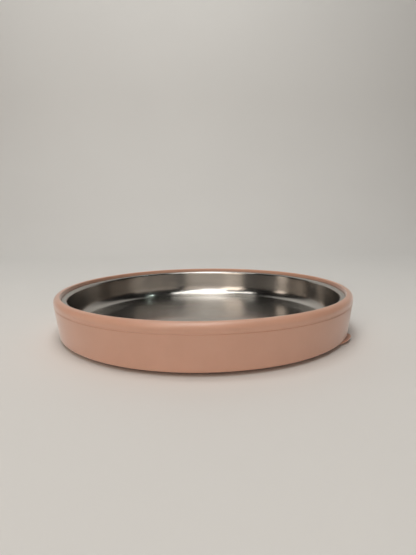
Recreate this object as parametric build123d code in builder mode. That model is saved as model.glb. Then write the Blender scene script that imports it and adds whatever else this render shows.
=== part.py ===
"""Suction bowl for a toddler: a shallow steel dish in a soft silicone sleeve.

The sleeve carries a suction cup underneath. A small tab on the cup's edge
reaches out below the sleeve's wall, and lifting it breaks the seal.

Frame: millimetres, +Z up, table at Z = 0, bowl axis on Z, pull tab on +X.
"""

from build123d import *
import os
from math import cos, radians, sqrt, tan

# Overall size
rim_radius = 90.0            # widest circle, just below the crown of the rim
height = 24.7                # table to crown
edge_lift = 2.0              # table to the sleeve's underside
wall_taper = 6.5             # degrees that the wall leans in towards the table

# Silicone sleeve
crown_round = 3.1            # outer rounding of the rim
lip_inner_radius = 86.1      # face that surrounds the steel flange
lip_inner_round = 0.7
edge_round = 0.8             # rounding of the wall's bottom edge
parting_drop = 4.9           # crown to the fine moulding line on the wall
parting_step = 0.12          # the wall stands this much prouder above the line

# Steel dish
steel = 0.6
flange_drop = 2.2            # crown to the top of the steel flange
flange_radius = 85.8
flange_round = 2.0           # turn from the flange into the dish wall
dish_top_radius = 82.3
dish_bottom_radius = 81.4
dish_fillet = 8.0            # turn from the wall into the floor
dish_depth = 21.0            # crown to the dish floor

# Clearances
side_gap = 0.3               # between curved faces of dish and sleeve
ledge_gap = 0.1              # under the flange, so that the dish rests on its floor

# Suction cup
neck_inner_radius = 56.0
neck_outer_radius = 62.0
neck_height = 1.1            # underside of the neck, above the table
skirt_height = 0.85          # underside of the skirt where it leaves the neck
cup_radius = 79.0
lip_width = 3.5              # flat ring that seals on the table
lip_thickness = 1.0
shoulder_run = 1.5           # short slope from the neck onto the cup's skirt
shoulder_drop = 0.3

# Pull tab
tab_reach = 89.9             # outermost point, kept inside the rim
tab_edge_radius = 17.5       # plan radius of the tab's rounded edge
tab_thickness = 1.1
tab_clear = 0.4              # tab's underside above the table
tab_turn_up = 1.4            # how high the tab's edge curls above its flat part
tab_bend_x = 86.0            # line the tab bends about
bend_gap = 0.3               # between the tongue's round end and the tab
tab_gap = 0.9                # between the tab and the wall

# Worked out from the above
flange_top = height - flange_drop
floor_top = height - dish_depth
floor_underside = floor_top - steel
tab_centre_x = tab_reach - tab_edge_radius
tongue_half_width = sqrt(tab_edge_radius**2 - (tab_bend_x - tab_centre_x) ** 2)
bend_height = tab_clear + tab_thickness / 2


def wall_radius(z):
    """Outer radius of the sleeve's tapered wall at height z."""
    round_centre = height - crown_round
    lean = tan(radians(wall_taper))
    at_centre = rim_radius - crown_round + crown_round / cos(radians(wall_taper))
    return at_centre + (z - round_centre) * lean


def dish_radius(z):
    """Inner radius of the steel dish's wall at height z."""
    share = (z - floor_top) / (flange_top - floor_top)
    return dish_bottom_radius + share * (dish_top_radius - dish_bottom_radius)


def outline(*corners):
    """A closed outline through (radius, z, rounding) corners."""
    points = [(radius, z) for radius, z, _ in corners]
    return FilletPolyline(*points, radius=[rounding for _, _, rounding in corners], close=True)


# Steel dish: one pressed sheet, drawn as its upper surface and thickened below
with BuildPart() as steel_dish:
    with BuildSketch(Plane.XZ):
        with BuildLine():
            upper = FilletPolyline(
                (0, floor_top),
                (dish_bottom_radius, floor_top),
                (dish_top_radius, flange_top),
                (flange_radius, flange_top),
                radius=[dish_fillet, flange_round],
            )
            offset(upper, amount=steel, side=Side.RIGHT)
        make_face()
    revolve(axis=Axis.Z)

steel_dish.part.label = "steel_dish"

# Silicone sleeve: tapered wall with a rounded rim, a ledge under the flange
# and a full floor under the dish
sleeve_bore_top = dish_radius(flange_top) + steel + side_gap
sleeve_bore_bottom = dish_radius(floor_top) + steel + side_gap
ledge = flange_top - steel - ledge_gap
parting_z = height - parting_drop

with BuildPart() as silicone_sleeve:
    with BuildSketch(Plane.XZ):
        with BuildLine():
            outline(
                (0, edge_lift, 0),
                (wall_radius(edge_lift) - parting_step, edge_lift, edge_round),
                (wall_radius(parting_z) - parting_step, parting_z, 0),
                (wall_radius(parting_z), parting_z, 0),
                (wall_radius(height), height, crown_round),
                (lip_inner_radius, height, lip_inner_round),
                (lip_inner_radius, ledge, 0),
                (sleeve_bore_top, ledge, flange_round),
                (sleeve_bore_bottom, floor_underside, dish_fillet + steel - side_gap),
                (0, floor_underside, 0),
            )
        make_face()
    revolve(axis=Axis.Z)

silicone_sleeve.part.label = "silicone_sleeve"

# Suction cup: a neck under the sleeve's floor, a thin skirt sloping down to a flat
# sealing lip, and the tongue that leads to the pull tab
with BuildPart() as suction_cup:
    with BuildSketch(Plane.XZ):
        with BuildLine():
            Polyline(
                (neck_inner_radius, edge_lift),
                (neck_outer_radius, edge_lift),
                (neck_outer_radius + shoulder_run, edge_lift - shoulder_drop),
                (cup_radius, lip_thickness),
                (cup_radius, 0),
                (cup_radius - lip_width, 0),
                (neck_outer_radius, skirt_height),
                (neck_inner_radius, neck_height),
                close=True,
            )
        make_face()
    revolve(axis=Axis.Z)
    with BuildSketch(Plane.XZ):
        with BuildLine():
            Polyline(
                (cup_radius - lip_width, tab_clear),
                (tab_bend_x, tab_clear),
                (tab_bend_x, tab_clear + tab_thickness),
                (cup_radius - lip_width, tab_clear + tab_thickness),
                close=True,
            )
        make_face()
        with Locations((tab_bend_x, bend_height)):
            Circle(tab_thickness / 2)
    extrude(amount=tongue_half_width, both=True)

suction_cup.part.label = "suction_cup"

# Pull tab: the rounded end of the tongue with its edge curled up
tab_start_x = tab_bend_x + tab_thickness / 2 + bend_gap

with BuildPart() as pull_tab:
    with BuildSketch(Plane.XZ):
        with BuildLine():
            tab_top = FilletPolyline(
                (tab_centre_x, tab_clear + tab_thickness),
                (tab_reach - tab_thickness, tab_clear + tab_thickness),
                (tab_reach - tab_thickness, tab_clear + tab_thickness + tab_turn_up),
                radius=tab_thickness,
            )
            offset(tab_top, amount=tab_thickness, side=Side.RIGHT)
        make_face()
    revolve(axis=Axis((tab_centre_x, 0, 0), (0, 0, 1)))
    split(bisect_by=Plane.YZ.offset(tab_start_x), keep=Keep.TOP)
    with BuildSketch(Plane.XZ):
        with BuildLine():
            Polyline(
                (0, edge_lift - tab_gap),
                (wall_radius(edge_lift - tab_gap) + tab_gap, edge_lift - tab_gap),
                (wall_radius(height) + tab_gap, height),
                (0, height),
                close=True,
            )
        make_face()
    revolve(axis=Axis.Z, mode=Mode.SUBTRACT)

pull_tab.part.label = "pull_tab"

os.makedirs("parts", exist_ok=True)
for piece in (steel_dish, silicone_sleeve, suction_cup, pull_tab):
    export_step(piece.part, f"parts/{piece.part.label}.step")
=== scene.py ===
"""Looks of the suction bowl: brushed steel dish, powdery silicone sleeve, suction cup and pull tab."""

from math import cos, hypot, pi, radians, sin, sqrt, tan

import bpy
from mathutils import Matrix, Vector


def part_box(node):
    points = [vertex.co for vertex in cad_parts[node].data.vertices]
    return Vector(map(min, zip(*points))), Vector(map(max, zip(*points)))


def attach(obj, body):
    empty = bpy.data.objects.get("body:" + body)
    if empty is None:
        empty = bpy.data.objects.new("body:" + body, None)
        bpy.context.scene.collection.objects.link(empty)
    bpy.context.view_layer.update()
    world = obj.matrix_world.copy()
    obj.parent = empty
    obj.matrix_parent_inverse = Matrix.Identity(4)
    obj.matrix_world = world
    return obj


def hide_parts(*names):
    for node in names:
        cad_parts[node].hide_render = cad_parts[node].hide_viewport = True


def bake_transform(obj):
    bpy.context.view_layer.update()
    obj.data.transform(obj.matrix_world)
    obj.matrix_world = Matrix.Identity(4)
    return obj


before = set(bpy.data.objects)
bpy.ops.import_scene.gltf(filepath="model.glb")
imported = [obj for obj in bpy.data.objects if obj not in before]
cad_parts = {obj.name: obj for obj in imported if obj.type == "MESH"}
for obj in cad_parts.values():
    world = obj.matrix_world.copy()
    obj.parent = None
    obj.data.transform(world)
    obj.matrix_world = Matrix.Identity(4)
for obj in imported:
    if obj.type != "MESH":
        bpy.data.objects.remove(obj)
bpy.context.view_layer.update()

MM = 0.001

# The bowl, from the frame
sleeve_low, sleeve_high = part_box("silicone_sleeve")
dish_low, dish_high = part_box("steel_dish")
cup_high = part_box("suction_cup")[1]
tab_low, tab_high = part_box("pull_tab")
CROWN = sleeve_high.z
RIM_RADIUS = sleeve_high.y
EDGE_Z = sleeve_low.z        # the sleeve's flat underside
FLANGE_TOP = dish_high.z
FLANGE_RADIUS = dish_high.y
DISH_UNDERSIDE = dish_low.z
CUP_RADIUS = cup_high.y

# The dish
STEEL = 0.6 * MM             # thickness of its sheet
WALL_TOP_RADIUS = 82.3 * MM  # inside its wall, at the flange
WALL_FOOT_RADIUS = 81.4 * MM
DISH_FILLET = 8.0 * MM       # turn from its wall into its floor
FILLET_SPAN = 6 * MM, 11 * MM    # heights over which the floor's finish turns into the wall's
WALL_ROUGHER = 0.06          # the wall's finish is rougher than the floor's by this
FLANGE_BEND = 2.0 * MM       # turn from its wall into its flange
SHEET_EDGE = 0.25 * MM       # rounding of the flange's cut edge

# The sleeve
CLEARANCE = 0.3 * MM         # between the dish and the sleeve
LEDGE_GAP = 0.1 * MM         # under the flange
WALL_TAPER = radians(6.5)
CROWN_ROUND = 3.1 * MM
LIP_ROUND = 0.7 * MM         # the crown's inner edge
EDGE_ROUND = 0.8 * MM        # the wall's bottom edge
PARTING_DROP = 4.9 * MM      # crown to the fine moulding line
SEAM_WIDTH = 0.5 * MM
SEAM_DEPTH = 0.3 * MM        # the shadow groove under the line
SEAM_BEAD = 0.06 * MM        # the flash that stands out above it
SEAM_STEP = 0.12 * MM        # the wall below the line stands back by this
SEAM_ROUND = 0.08 * MM       # corners above and below the groove
GROOVE_ROUND = 0.05 * MM
SEAM_FADE = 0.2 * MM         # corner where the line runs out into the wall above it
LEDGE_ROUND = 0.1 * MM       # inner corner under the flange
SOFT_FROM = 83.5 * MM        # the radius at which the moulding starts to be uneven
SOFT_BLEND = 3.0 * MM
SOFT_INSET = 0.08            # mm that the outside shrinks by on average, and that it sinks by
SOFT_SINK = 0.05
SOFT_CROWN_SHARE = 0.6       # how much less the crown shrinks than the bottom edge
SWELL_WAVES = ((0.06, 3, 0.7), (0.04, 7, 2.1), (0.02, 13, 0.0))    # mm, waves round the bowl, phase
LIFT_WAVES = ((0.025, 4, 1.3), (0.015, 9, 0.4))

# The suction cup
NECK_INNER = 56.0 * MM
NECK_OUTER = 62.0 * MM
SHOULDER_RUN = 1.5 * MM      # the turn from the neck into the skirt
SHOULDER_DROP = 0.3 * MM
SKIRT_RIM = 1.0 * MM         # thickness of the skirt at its edge
SEALING_LIP = 3.5 * MM       # width of the ring that touches the table
HOLLOW_OUTER = 0.85 * MM     # height of the hollow over the table, under the skirt and under the neck
HOLLOW_INNER = 1.1 * MM
SKIRT_ROUND = 1.0 * MM       # its long, soft corners
SKIRT_TOP_ROUND = 0.35 * MM  # and the small ones at its edge and at the neck
SKIRT_FOOT_ROUND = 0.2 * MM
NECK_ROUND = 0.25 * MM

# The pull tab and its tongue
TONGUE_ROOT = 2.5 * MM       # how far the tongue reaches in under the cup's edge
TAB_THICKNESS = 1.1 * MM
TAB_HALF_WIDTH = 10.4 * MM
TAB_END_RADIUS = 17.5 * MM   # the curve of its free edge
TAB_CORNER = 1.2 * MM        # how far that edge draws in at its corners
TAB_CORNER_POWER = 8
CURL_START = 13.6 * MM       # where the free edge starts to turn up, from the centre of its curve
CURL_LENGTH = 3.9 * MM
CURL_SPREAD = 1.05           # 1 fades the curl out at the tab's sides, and more a little before them
CURL_FADE = 0.6              # under 1 keeps the curl full over more of the width
TAB_ROWS, TAB_COLUMNS = 44, 48

# Meshes
TURN_STEPS = 256             # segments round each turned piece
ARC_STEPS = 14               # pieces of each rounded corner of a profile
POLE = 1e-7                  # a profile point nearer than this to the axis is on it

# Colours; a pair is what a material varies between
SLEEVE_PINKS = (0.70, 0.395, 0.285, 1), (0.665, 0.37, 0.263, 1)
CUP_PINKS = (0.68, 0.38, 0.275, 1), (0.645, 0.355, 0.253, 1)
FLOOR_STEELS = (0.54, 0.52, 0.495, 1), (0.66, 0.64, 0.61, 1)
WALL_STEELS = (0.45, 0.433, 0.410, 1), (0.575, 0.557, 0.528, 1)
GLANCING_STEEL = (0.8, 0.8, 0.8, 1)
PAPERS = (0.82, 0.82, 0.812, 1), (0.80, 0.80, 0.792, 1)
WARM_WHITE = (1.0, 0.985, 0.945)
BEIGE = (1.0, 0.86, 0.735)
COOL_WHITE = (0.84, 1.0, 0.95)
ROOM_COLOUR = (0.60, 0.58, 0.55, 1)
ROOM_DIM = 0.02              # the room beyond the paper as the bowl and the paper see it
ROOM_SEEN = 0.85             # and as the camera sees it

# Nearly all of a noise's values lie within one of these
NOISE_SPAN = 0.3, 0.7
CLOUD_SPAN = 0.35, 0.65

# The camera, relative to the bowl's axis
VIEW_AZIMUTH = 27            # degrees; puts the pull tab at the lower right
CAMERA_DISTANCE = 246.6 * MM
CAMERA_RIGHT = 2.8 * MM
CAMERA_ABOVE_CROWN = 42.6 * MM
CAMERA_PITCH = 8.6           # degrees down
CAMERA_ROLL = -0.69          # degrees
LENS = 25.4                  # mm, for a sensor this wide
SENSOR_WIDTH = 36
NEAREST = 10 * MM

# The paper sweep, in metres
TABLE_Z = -0.05 * MM         # a hair below the sealing lip, so that the two don't share a plane
SWEEP_HALF_WIDTH = 1.1
SWEEP_FRONT = -0.9
SWEEP_BACK = 0.75
SWEEP_TOP = 1.5
SWEEP_BEND = 0.35


def seen(right, away, up):
    """A point given as the camera sees the bowl: right of it, beyond it and above the table."""
    return Matrix.Rotation(radians(VIEW_AZIMUTH), 3, "Z") @ Vector((right, away, up))


def make_camera():
    data = bpy.data.cameras.new("camera")
    data.lens = LENS
    data.sensor_width = SENSOR_WIDTH
    data.clip_start = NEAREST
    camera = bpy.data.objects.new("camera", data)
    camera.location = seen(CAMERA_RIGHT, -CAMERA_DISTANCE, CROWN + CAMERA_ABOVE_CROWN)
    turn = Matrix.Rotation(radians(VIEW_AZIMUTH), 3, "Z")
    tilt = Matrix.Rotation(radians(90 - CAMERA_PITCH), 3, "X")
    roll = Matrix.Rotation(radians(CAMERA_ROLL), 3, "Z")
    camera.rotation_euler = (turn @ tilt @ roll).to_euler()
    bpy.context.collection.objects.link(camera)
    bpy.context.scene.camera = camera


# Meshes ---------------------------------------------------------------------

def corner_arc(before, here, after, rounding):
    """Points of the arc that rounds the corner here, between the corners before and after it."""
    back = (before - here).normalized()
    on = (after - here).normalized()
    half_angle = back.angle(on) / 2
    centre = here + (back + on).normalized() * (rounding / sin(half_angle))
    start = here + back * (rounding / tan(half_angle)) - centre
    end = here + on * (rounding / tan(half_angle)) - centre
    sweep = start.angle_signed(end)
    return [centre + Matrix.Rotation(-sweep * k / ARC_STEPS, 2) @ start for k in range(ARC_STEPS + 1)]


def rounded(corners, longest=None, closed=True):
    """Points along an outline of (radius, z, rounding) corners, with arcs at the corners.

    longest splits straight runs into pieces no longer than it.
    """
    places = [Vector(corner[:2]) for corner in corners]
    last = len(corners) - 1
    points = []
    for i, here in enumerate(places):
        rounding = corners[i][2]
        if rounding == 0 or (not closed and i in (0, last)):
            points.append(here)
        else:
            points += corner_arc(places[i - 1], here, places[(i + 1) % len(places)], rounding)
    if not longest:
        return points
    filled = []
    for i, point in enumerate(points):
        filled.append(point)
        if i == len(points) - 1 and not closed:
            break
        following = points[(i + 1) % len(points)]
        pieces = int((following - point).length / longest) + 1
        for k in range(1, pieces):
            filled.append(point.lerp(following, k / pieces))
    return filled


def finish_mesh(name, vertices, faces, material, sharp=35):
    """Makes the object. Edges that bend by more than sharp, in degrees, stay crisp."""
    mesh = bpy.data.meshes.new(name)
    mesh.from_pydata(vertices, [], faces)
    mesh.validate()
    mesh.update()
    mesh.shade_smooth()
    mesh.set_sharp_from_angle(angle=radians(sharp))
    mesh.materials.append(material)
    piece = bpy.data.objects.new(name, mesh)
    bpy.context.collection.objects.link(piece)
    return piece


def is_pole(row):
    return row[0] == row[1]


def lathe(name, profile, material, shape=None):
    """Turns a profile about Z. Profile points on the axis become single poles.

    A profile with no point on the axis is closed into a ring. shape(r, z, angle) may return a
    slightly different (r, z), for the unevenness of a soft moulding.
    """
    vertices, rows = [], []
    for r, z in profile:
        if r < POLE:
            rows.append([len(vertices)] * TURN_STEPS)
            vertices.append((0, 0, z))
            continue
        rows.append(list(range(len(vertices), len(vertices) + TURN_STEPS)))
        for k in range(TURN_STEPS):
            angle = 2 * pi * k / TURN_STEPS
            rk, zk = shape(r, z, angle) if shape else (r, z)
            vertices.append((rk * cos(angle), rk * sin(angle), zk))
    pairs = list(zip(rows, rows[1:]))
    if not (is_pole(rows[0]) and is_pole(rows[-1])):
        pairs.append((rows[-1], rows[0]))
    faces = []
    for low, high in pairs:
        for k in range(TURN_STEPS):
            n = (k + 1) % TURN_STEPS
            face = [low[k], low[n], high[n], high[k]]
            faces.append(list(dict.fromkeys(face)))
    return finish_mesh(name, vertices, faces, material)


# Node materials -------------------------------------------------------------

class Nodes:
    """A new node material with its Principled shader, and short calls that add nodes."""

    def __init__(self, name):
        self.material = bpy.data.materials.new(name)
        self.material.use_nodes = True
        self.tree = self.material.node_tree
        self.inputs = self.tree.nodes["Principled BSDF"].inputs
        coordinates = self.tree.nodes.new("ShaderNodeTexCoord")
        self.position = coordinates.outputs["Object"]

    def link(self, source, target):
        self.tree.links.new(source, target)

    def fill(self, socket, value):
        if isinstance(value, bpy.types.NodeSocket):
            self.link(value, socket)
        else:
            socket.default_value = value

    def set(self, **values):
        """Uniform values of the shader, named like its sockets with _ for each space."""
        for name, value in values.items():
            self.inputs[name.replace("_", " ")].default_value = value

    def maths(self, operation, a, b=0.0):
        node = self.tree.nodes.new("ShaderNodeMath")
        node.operation = operation
        for socket, value in zip(node.inputs, (a, b)):
            self.fill(socket, value)
        return node.outputs[0]

    def remap(self, value, low, high, to_low=0.0, to_high=1.0):
        node = self.tree.nodes.new("ShaderNodeMapRange")
        for socket, given in zip(node.inputs, (value, low, high, to_low, to_high)):
            self.fill(socket, given)
        return node.outputs[0]

    def noise(self, vector, scale, detail=2.0, rough=0.5):
        node = self.tree.nodes.new("ShaderNodeTexNoise")
        self.link(vector, node.inputs["Vector"])
        node.inputs["Scale"].default_value = scale
        node.inputs["Detail"].default_value = detail
        node.inputs["Roughness"].default_value = rough
        return node.outputs["Fac"]

    def mean(self, a, b):
        return self.maths("ADD", self.maths("MULTIPLY", a, 0.5), self.maths("MULTIPLY", b, 0.5))

    def mix(self, share, colour_a, colour_b):
        """Sockets 6 and 7, and output 2, are the node's set for colours."""
        node = self.tree.nodes.new("ShaderNodeMix")
        node.data_type = "RGBA"
        self.fill(node.inputs["Factor"], share)
        self.fill(node.inputs[6], colour_a)
        self.fill(node.inputs[7], colour_b)
        return node.outputs[2]

    def bump(self, height, distance, before=None):
        node = self.tree.nodes.new("ShaderNodeBump")
        node.inputs["Strength"].default_value = 1.0
        node.inputs["Distance"].default_value = distance
        self.link(height, node.inputs["Height"])
        if before:
            self.link(before, node.inputs["Normal"])
        return node.outputs["Normal"]

    def axes(self):
        node = self.tree.nodes.new("ShaderNodeSeparateXYZ")
        self.link(self.position, node.inputs[0])
        return node.outputs

    def vector(self, x, y, z):
        node = self.tree.nodes.new("ShaderNodeCombineXYZ")
        for socket, value in zip(node.inputs, (x, y, z)):
            self.fill(socket, value)
        return node.outputs[0]

    def rings(self, round_scale, across_scale):
        """A vector that changes slowly round the bowl's axis and quickly along its profile."""
        x, y, z = self.axes()
        squares = self.maths("ADD", self.maths("MULTIPLY", x, x), self.maths("MULTIPLY", y, y))
        radius = self.maths("SQRT", squares)
        along = self.maths("MULTIPLY", self.maths("ADD", radius, z), across_scale)
        around = [self.maths("MULTIPLY", self.maths("DIVIDE", a, radius), round_scale) for a in (x, y)]
        return self.vector(*around, along)


def steel():
    """Stainless steel with fine rings from polishing, which stretch its reflections across them."""
    m = Nodes("brushed_stainless")
    fine = m.noise(m.rings(round_scale=5, across_scale=2600), scale=1, detail=3.0, rough=0.65)
    broad = m.noise(m.rings(round_scale=1.2, across_scale=260), scale=1)
    clouds = m.noise(m.position, scale=38)
    shade = m.remap(m.mean(fine, broad), *NOISE_SPAN)
    on_wall = m.remap(m.axes()[2], *FILLET_SPAN)
    floor_colour = m.mix(shade, *FLOOR_STEELS)
    wall_colour = m.mix(shade, *WALL_STEELS)
    m.link(m.mix(on_wall, floor_colour, wall_colour), m.inputs["Base Color"])
    floor_rough = m.remap(m.mean(fine, clouds), *NOISE_SPAN, to_low=0.15, to_high=0.21)
    m.link(m.maths("ADD", floor_rough, m.maths("MULTIPLY", on_wall, WALL_ROUGHER)), m.inputs["Roughness"])
    m.set(Metallic=1.0, Specular_Tint=GLANCING_STEEL, Anisotropic=0.92, Anisotropic_Rotation=0.25)
    tangent = m.tree.nodes.new("ShaderNodeTangent")
    tangent.direction_type = "RADIAL"
    tangent.axis = "Z"
    m.link(tangent.outputs[0], m.inputs["Tangent"])
    normal = m.bump(fine, distance=0.004 * MM)
    normal = m.bump(broad, distance=0.004 * MM, before=normal)
    m.link(normal, m.inputs["Normal"])
    return m.material


def silicone(name, colours, rough_low, rough_high):
    """Moulded silicone with a dry, powdery skin, faint mottling and a little light passing through."""
    m = Nodes(name)
    mottle = m.noise(m.position, scale=45, detail=4.0, rough=0.6)
    grain = m.noise(m.position, scale=2600, detail=3.0, rough=0.7)
    m.link(m.mix(m.remap(mottle, *CLOUD_SPAN), *colours), m.inputs["Base Color"])
    m.link(m.remap(grain, *NOISE_SPAN, rough_low, rough_high), m.inputs["Roughness"])
    m.set(Subsurface_Weight=0.12, Subsurface_Radius=(1.0, 0.45, 0.30), Subsurface_Scale=1.6 * MM)
    m.set(Sheen_Weight=0.8, Sheen_Roughness=0.3, Specular_IOR_Level=1.0, IOR=1.5)
    normal = m.bump(grain, distance=0.012 * MM)
    normal = m.bump(mottle, distance=0.05 * MM, before=normal)
    m.link(normal, m.inputs["Normal"])
    return m.material


def paper():
    m = Nodes("paper")
    clouds = m.noise(m.position, scale=3)
    grain = m.noise(m.position, scale=900)
    m.link(m.mix(m.remap(clouds, *CLOUD_SPAN), *PAPERS), m.inputs["Base Color"])
    m.set(Roughness=0.75, Specular_IOR_Level=0.25)
    m.link(m.bump(grain, distance=0.02 * MM), m.inputs["Normal"])
    return m.material


# Pieces ---------------------------------------------------------------------

def wall_radius(z):
    """Outer radius of the sleeve's wall at height z."""
    at_round = RIM_RADIUS - CROWN_ROUND + CROWN_ROUND / cos(WALL_TAPER)
    return at_round + (z - (CROWN - CROWN_ROUND)) * tan(WALL_TAPER)


def waves(table, angle):
    return sum(height * sin(count * angle + phase) for height, count, phase in table)


def soft_unevenness(r, z, angle):
    """Moulded silicone is never quite round or quite level."""
    high = (z - EDGE_Z) / (CROWN - EDGE_Z)
    outer = max(0.0, min(1.0, (r - SOFT_FROM) / SOFT_BLEND))
    inset = (SOFT_INSET + waves(SWELL_WAVES, angle)) * (1 - SOFT_CROWN_SHARE * high)
    sink = SOFT_SINK + waves(LIFT_WAVES, angle)
    return r - outer * inset * MM, z - outer * sink * MM


def make_sleeve(material):
    parting = CROWN - PARTING_DROP
    lip_radius = FLANGE_RADIUS + CLEARANCE
    ledge = FLANGE_TOP - STEEL - LEDGE_GAP
    bore_top = WALL_TOP_RADIUS + STEEL + CLEARANCE
    bore_foot = WALL_FOOT_RADIUS + STEEL + CLEARANCE
    profile = rounded([
        (0, EDGE_Z, 0),
        (wall_radius(EDGE_Z) - SEAM_STEP, EDGE_Z, EDGE_ROUND),
        (wall_radius(parting) - SEAM_STEP, parting - SEAM_WIDTH, SEAM_ROUND),
        (wall_radius(parting) - SEAM_DEPTH, parting - SEAM_WIDTH / 2, GROOVE_ROUND),
        (wall_radius(parting) + SEAM_BEAD, parting, SEAM_ROUND),
        (wall_radius(parting), parting + SEAM_WIDTH, SEAM_FADE),
        (wall_radius(CROWN), CROWN, CROWN_ROUND),
        (lip_radius, CROWN, LIP_ROUND),
        (lip_radius, ledge, LEDGE_ROUND),
        (bore_top, ledge, FLANGE_BEND - STEEL),
        (bore_foot, DISH_UNDERSIDE, DISH_FILLET + STEEL - CLEARANCE),
        (0, DISH_UNDERSIDE, 0),
    ], longest=2.5 * MM, closed=False)
    piece = lathe("sleeve_skin", profile, material, soft_unevenness)
    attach(piece, "sleeve")
    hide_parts("silicone_sleeve")


def make_dish(material):
    floor_top = DISH_UNDERSIDE + STEEL
    flange_underside = FLANGE_TOP - STEEL
    profile = rounded([
        (0, floor_top, 0),
        (WALL_FOOT_RADIUS, floor_top, DISH_FILLET),
        (WALL_TOP_RADIUS, FLANGE_TOP, FLANGE_BEND),
        (FLANGE_RADIUS, FLANGE_TOP, SHEET_EDGE),
        (FLANGE_RADIUS, flange_underside, SHEET_EDGE),
        (WALL_TOP_RADIUS + STEEL, flange_underside, FLANGE_BEND - STEEL),
        (WALL_FOOT_RADIUS + STEEL, DISH_UNDERSIDE, DISH_FILLET + STEEL),
        (0, DISH_UNDERSIDE, 0),
    ], longest=6 * MM, closed=False)
    piece = lathe("dish_shell", profile, material)
    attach(piece, "dish")
    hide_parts("steel_dish")


def make_cup(material):
    profile = rounded([
        (NECK_INNER, EDGE_Z, 0),
        (NECK_OUTER, EDGE_Z, 0),
        (NECK_OUTER + SHOULDER_RUN, EDGE_Z - SHOULDER_DROP, SKIRT_ROUND),
        (CUP_RADIUS, SKIRT_RIM, SKIRT_TOP_ROUND),
        (CUP_RADIUS, 0, SKIRT_FOOT_ROUND),
        (CUP_RADIUS - SEALING_LIP, 0, SKIRT_ROUND),
        (NECK_OUTER, HOLLOW_OUTER, SKIRT_ROUND),
        (NECK_INNER, HOLLOW_INNER, NECK_ROUND),
    ], longest=3 * MM)
    piece = lathe("cup_skirt", profile, material)
    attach(piece, "sleeve")
    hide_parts("suction_cup")


def tab_point(along, across, side):
    """A point on the tab, top for side 1 and underside for -1.

    along runs from 0 at the root to 1 at the free edge, and across from -1 to 1 over the width.
    """
    root_x = CUP_RADIUS - TONGUE_ROOT
    centre_x = tab_high.x - TAB_END_RADIUS
    y = across * TAB_HALF_WIDTH
    end_x = centre_x + sqrt(TAB_END_RADIUS**2 - y * y) - TAB_CORNER * across**TAB_CORNER_POWER
    x = root_x + along * (end_x - root_x)
    edge_round = TAB_THICKNESS / 2
    to_edge = min(end_x - x, TAB_HALF_WIDTH - abs(y), edge_round)
    bulge = edge_round * sqrt(max(0.0, 1 - (1 - to_edge / edge_round) ** 2))
    curl = max(0.0, (hypot(x - centre_x, y) - CURL_START) / CURL_LENGTH) * (x > centre_x)
    middle = max(0.0, cos(across * pi / 2 * CURL_SPREAD)) ** CURL_FADE
    turn_up = tab_high.z - tab_low.z - TAB_THICKNESS
    return x, y, tab_low.z + edge_round + side * bulge + turn_up * curl**2 * middle


def make_tab(material):
    """The tongue from the cup's edge and the tab that it ends in, as one piece whose free edge curls up.
    """
    vertices, index = [], {}
    for side in (1, -1):
        for i in range(TAB_ROWS + 1):
            for j in range(TAB_COLUMNS + 1):
                border = i in (0, TAB_ROWS) or j in (0, TAB_COLUMNS)
                if side == -1 and border:
                    index[(side, i, j)] = index[(1, i, j)]
                    continue
                along = sin(pi / 2 * i / TAB_ROWS)
                across = sin(pi / 2 * (2 * j / TAB_COLUMNS - 1))
                index[(side, i, j)] = len(vertices)
                vertices.append(tab_point(along, across, side))
    faces = []
    for i in range(TAB_ROWS):
        for j in range(TAB_COLUMNS):
            corners = [(i, j), (i + 1, j), (i + 1, j + 1), (i, j + 1)]
            faces.append([index[(1, *c)] for c in corners])
            faces.append([index[(-1, *c)] for c in reversed(corners)])
    piece = finish_mesh("tab_tongue", vertices, faces, material, sharp=80)
    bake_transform(piece)
    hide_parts("pull_tab")


# Stage and lights -----------------------------------------------------------

def make_stage():
    """A sheet of pale paper that lies on the table and sweeps up behind the bowl."""
    sweep = rounded([
        (SWEEP_FRONT, TABLE_Z, 0),
        (SWEEP_BACK, TABLE_Z, SWEEP_BEND),
        (SWEEP_BACK, SWEEP_TOP, 0),
    ], closed=False)
    vertices, faces = [], []
    for away, up in sweep:
        vertices.append(seen(-SWEEP_HALF_WIDTH, away, up))
        vertices.append(seen(SWEEP_HALF_WIDTH, away, up))
    for k in range(len(sweep) - 1):
        faces.append([2 * k, 2 * k + 1, 2 * k + 3, 2 * k + 2])
    floor = finish_mesh("paper_sweep", vertices, faces, paper())


def area_light(name, colour, radiance, size, place, target=(0, 0, CROWN / 2)):
    """A softbox that is equally bright all over. radiance is how bright it looks, whatever its size.

    place and target are points for seen(), and the target is the bowl unless another is given.
    """
    data = bpy.data.lights.new(name, "AREA")
    data.shape = "RECTANGLE"
    data.size, data.size_y = size
    data.energy = radiance * pi * data.size * data.size_y
    data.color = colour
    light = bpy.data.objects.new(name, data)
    light.location = seen(*place)
    aim = seen(*target) - light.location
    light.rotation_euler = aim.to_track_quat("-Z", "Y").to_euler()
    bpy.context.collection.objects.link(light)


def round_about(bearing, elevation):
    """A place a metre from the bowl. Bearing 0 is on the camera's side, and positive is to the right."""
    flat = cos(radians(elevation))
    return sin(radians(bearing)) * flat, -cos(radians(bearing)) * flat, sin(radians(elevation))


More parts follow.
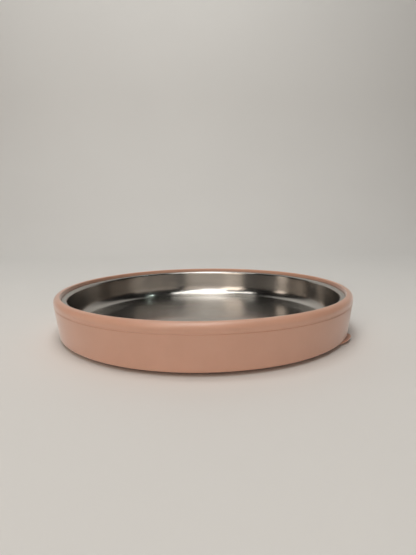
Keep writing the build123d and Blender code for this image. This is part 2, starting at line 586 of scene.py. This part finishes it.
def make_lights():
    # From above: the block of light in the dish's far fillet, and the light along the crown
    area_light("ceiling_box", WARM_WHITE, radiance=3.5, size=(0.42, 0.72),
               place=(-0.065, -0.42, 1.0), target=(-0.065, -0.42, 0))
    area_light("rear_box", WARM_WHITE, radiance=2.2, size=(0.34, 0.70),
               place=(-0.076, 0.22, 1.4), target=(-0.076, 0.22, 0))
    # Turned away from the bowl, on to the paper behind it
    area_light("backdrop_box", WARM_WHITE, radiance=4.1, size=(0.9, 0.4),
               place=(-0.14, 0.05, 1.25), target=(-0.14, 0.75, 0.85))
    # From the front and the sides: light on the sleeve's wall, and bands in the dish's wall
    area_light("front_box", BEIGE, radiance=0.68, size=(1.16, 0.95), place=round_about(-12, 27))
    area_light("window_box", BEIGE, radiance=1.8, size=(0.30, 0.68), place=round_about(-33, 37))
    area_light("left_box", BEIGE, radiance=1.6, size=(0.19, 0.5), place=round_about(-88, 15))
    area_light("right_box", BEIGE, radiance=0.38, size=(0.85, 0.45), place=round_about(54, 18))
    # The small cool glint at the left of the fillet
    area_light("side_lamp", COOL_WHITE, radiance=80, size=(0.022, 0.022), place=(0.42, 0.20, 1.0))


def make_room():
    """What lies beyond the paper: dark for the steel to mirror, pale for a camera that looks past it."""
    world = bpy.data.worlds.new("room")
    world.use_nodes = True
    tree = world.node_tree
    light_path = tree.nodes.new("ShaderNodeLightPath")
    strength = tree.nodes.new("ShaderNodeMapRange")
    strength.inputs["To Min"].default_value = ROOM_DIM
    strength.inputs["To Max"].default_value = ROOM_SEEN
    background = tree.nodes["Background"]
    background.inputs["Color"].default_value = ROOM_COLOUR
    tree.links.new(light_path.outputs["Is Camera Ray"], strength.inputs["Value"])
    tree.links.new(strength.outputs[0], background.inputs["Strength"])
    bpy.context.scene.world = world


bpy.context.scene.view_settings.view_transform = "Standard"
make_camera()
make_sleeve(silicone("blush_silicone", SLEEVE_PINKS, rough_low=0.32, rough_high=0.44))
make_dish(steel())
cup_material = silicone("blush_silicone_cup", CUP_PINKS, rough_low=0.31, rough_high=0.43)
make_cup(cup_material)
make_tab(cup_material)
make_stage()
make_lights()
make_room()
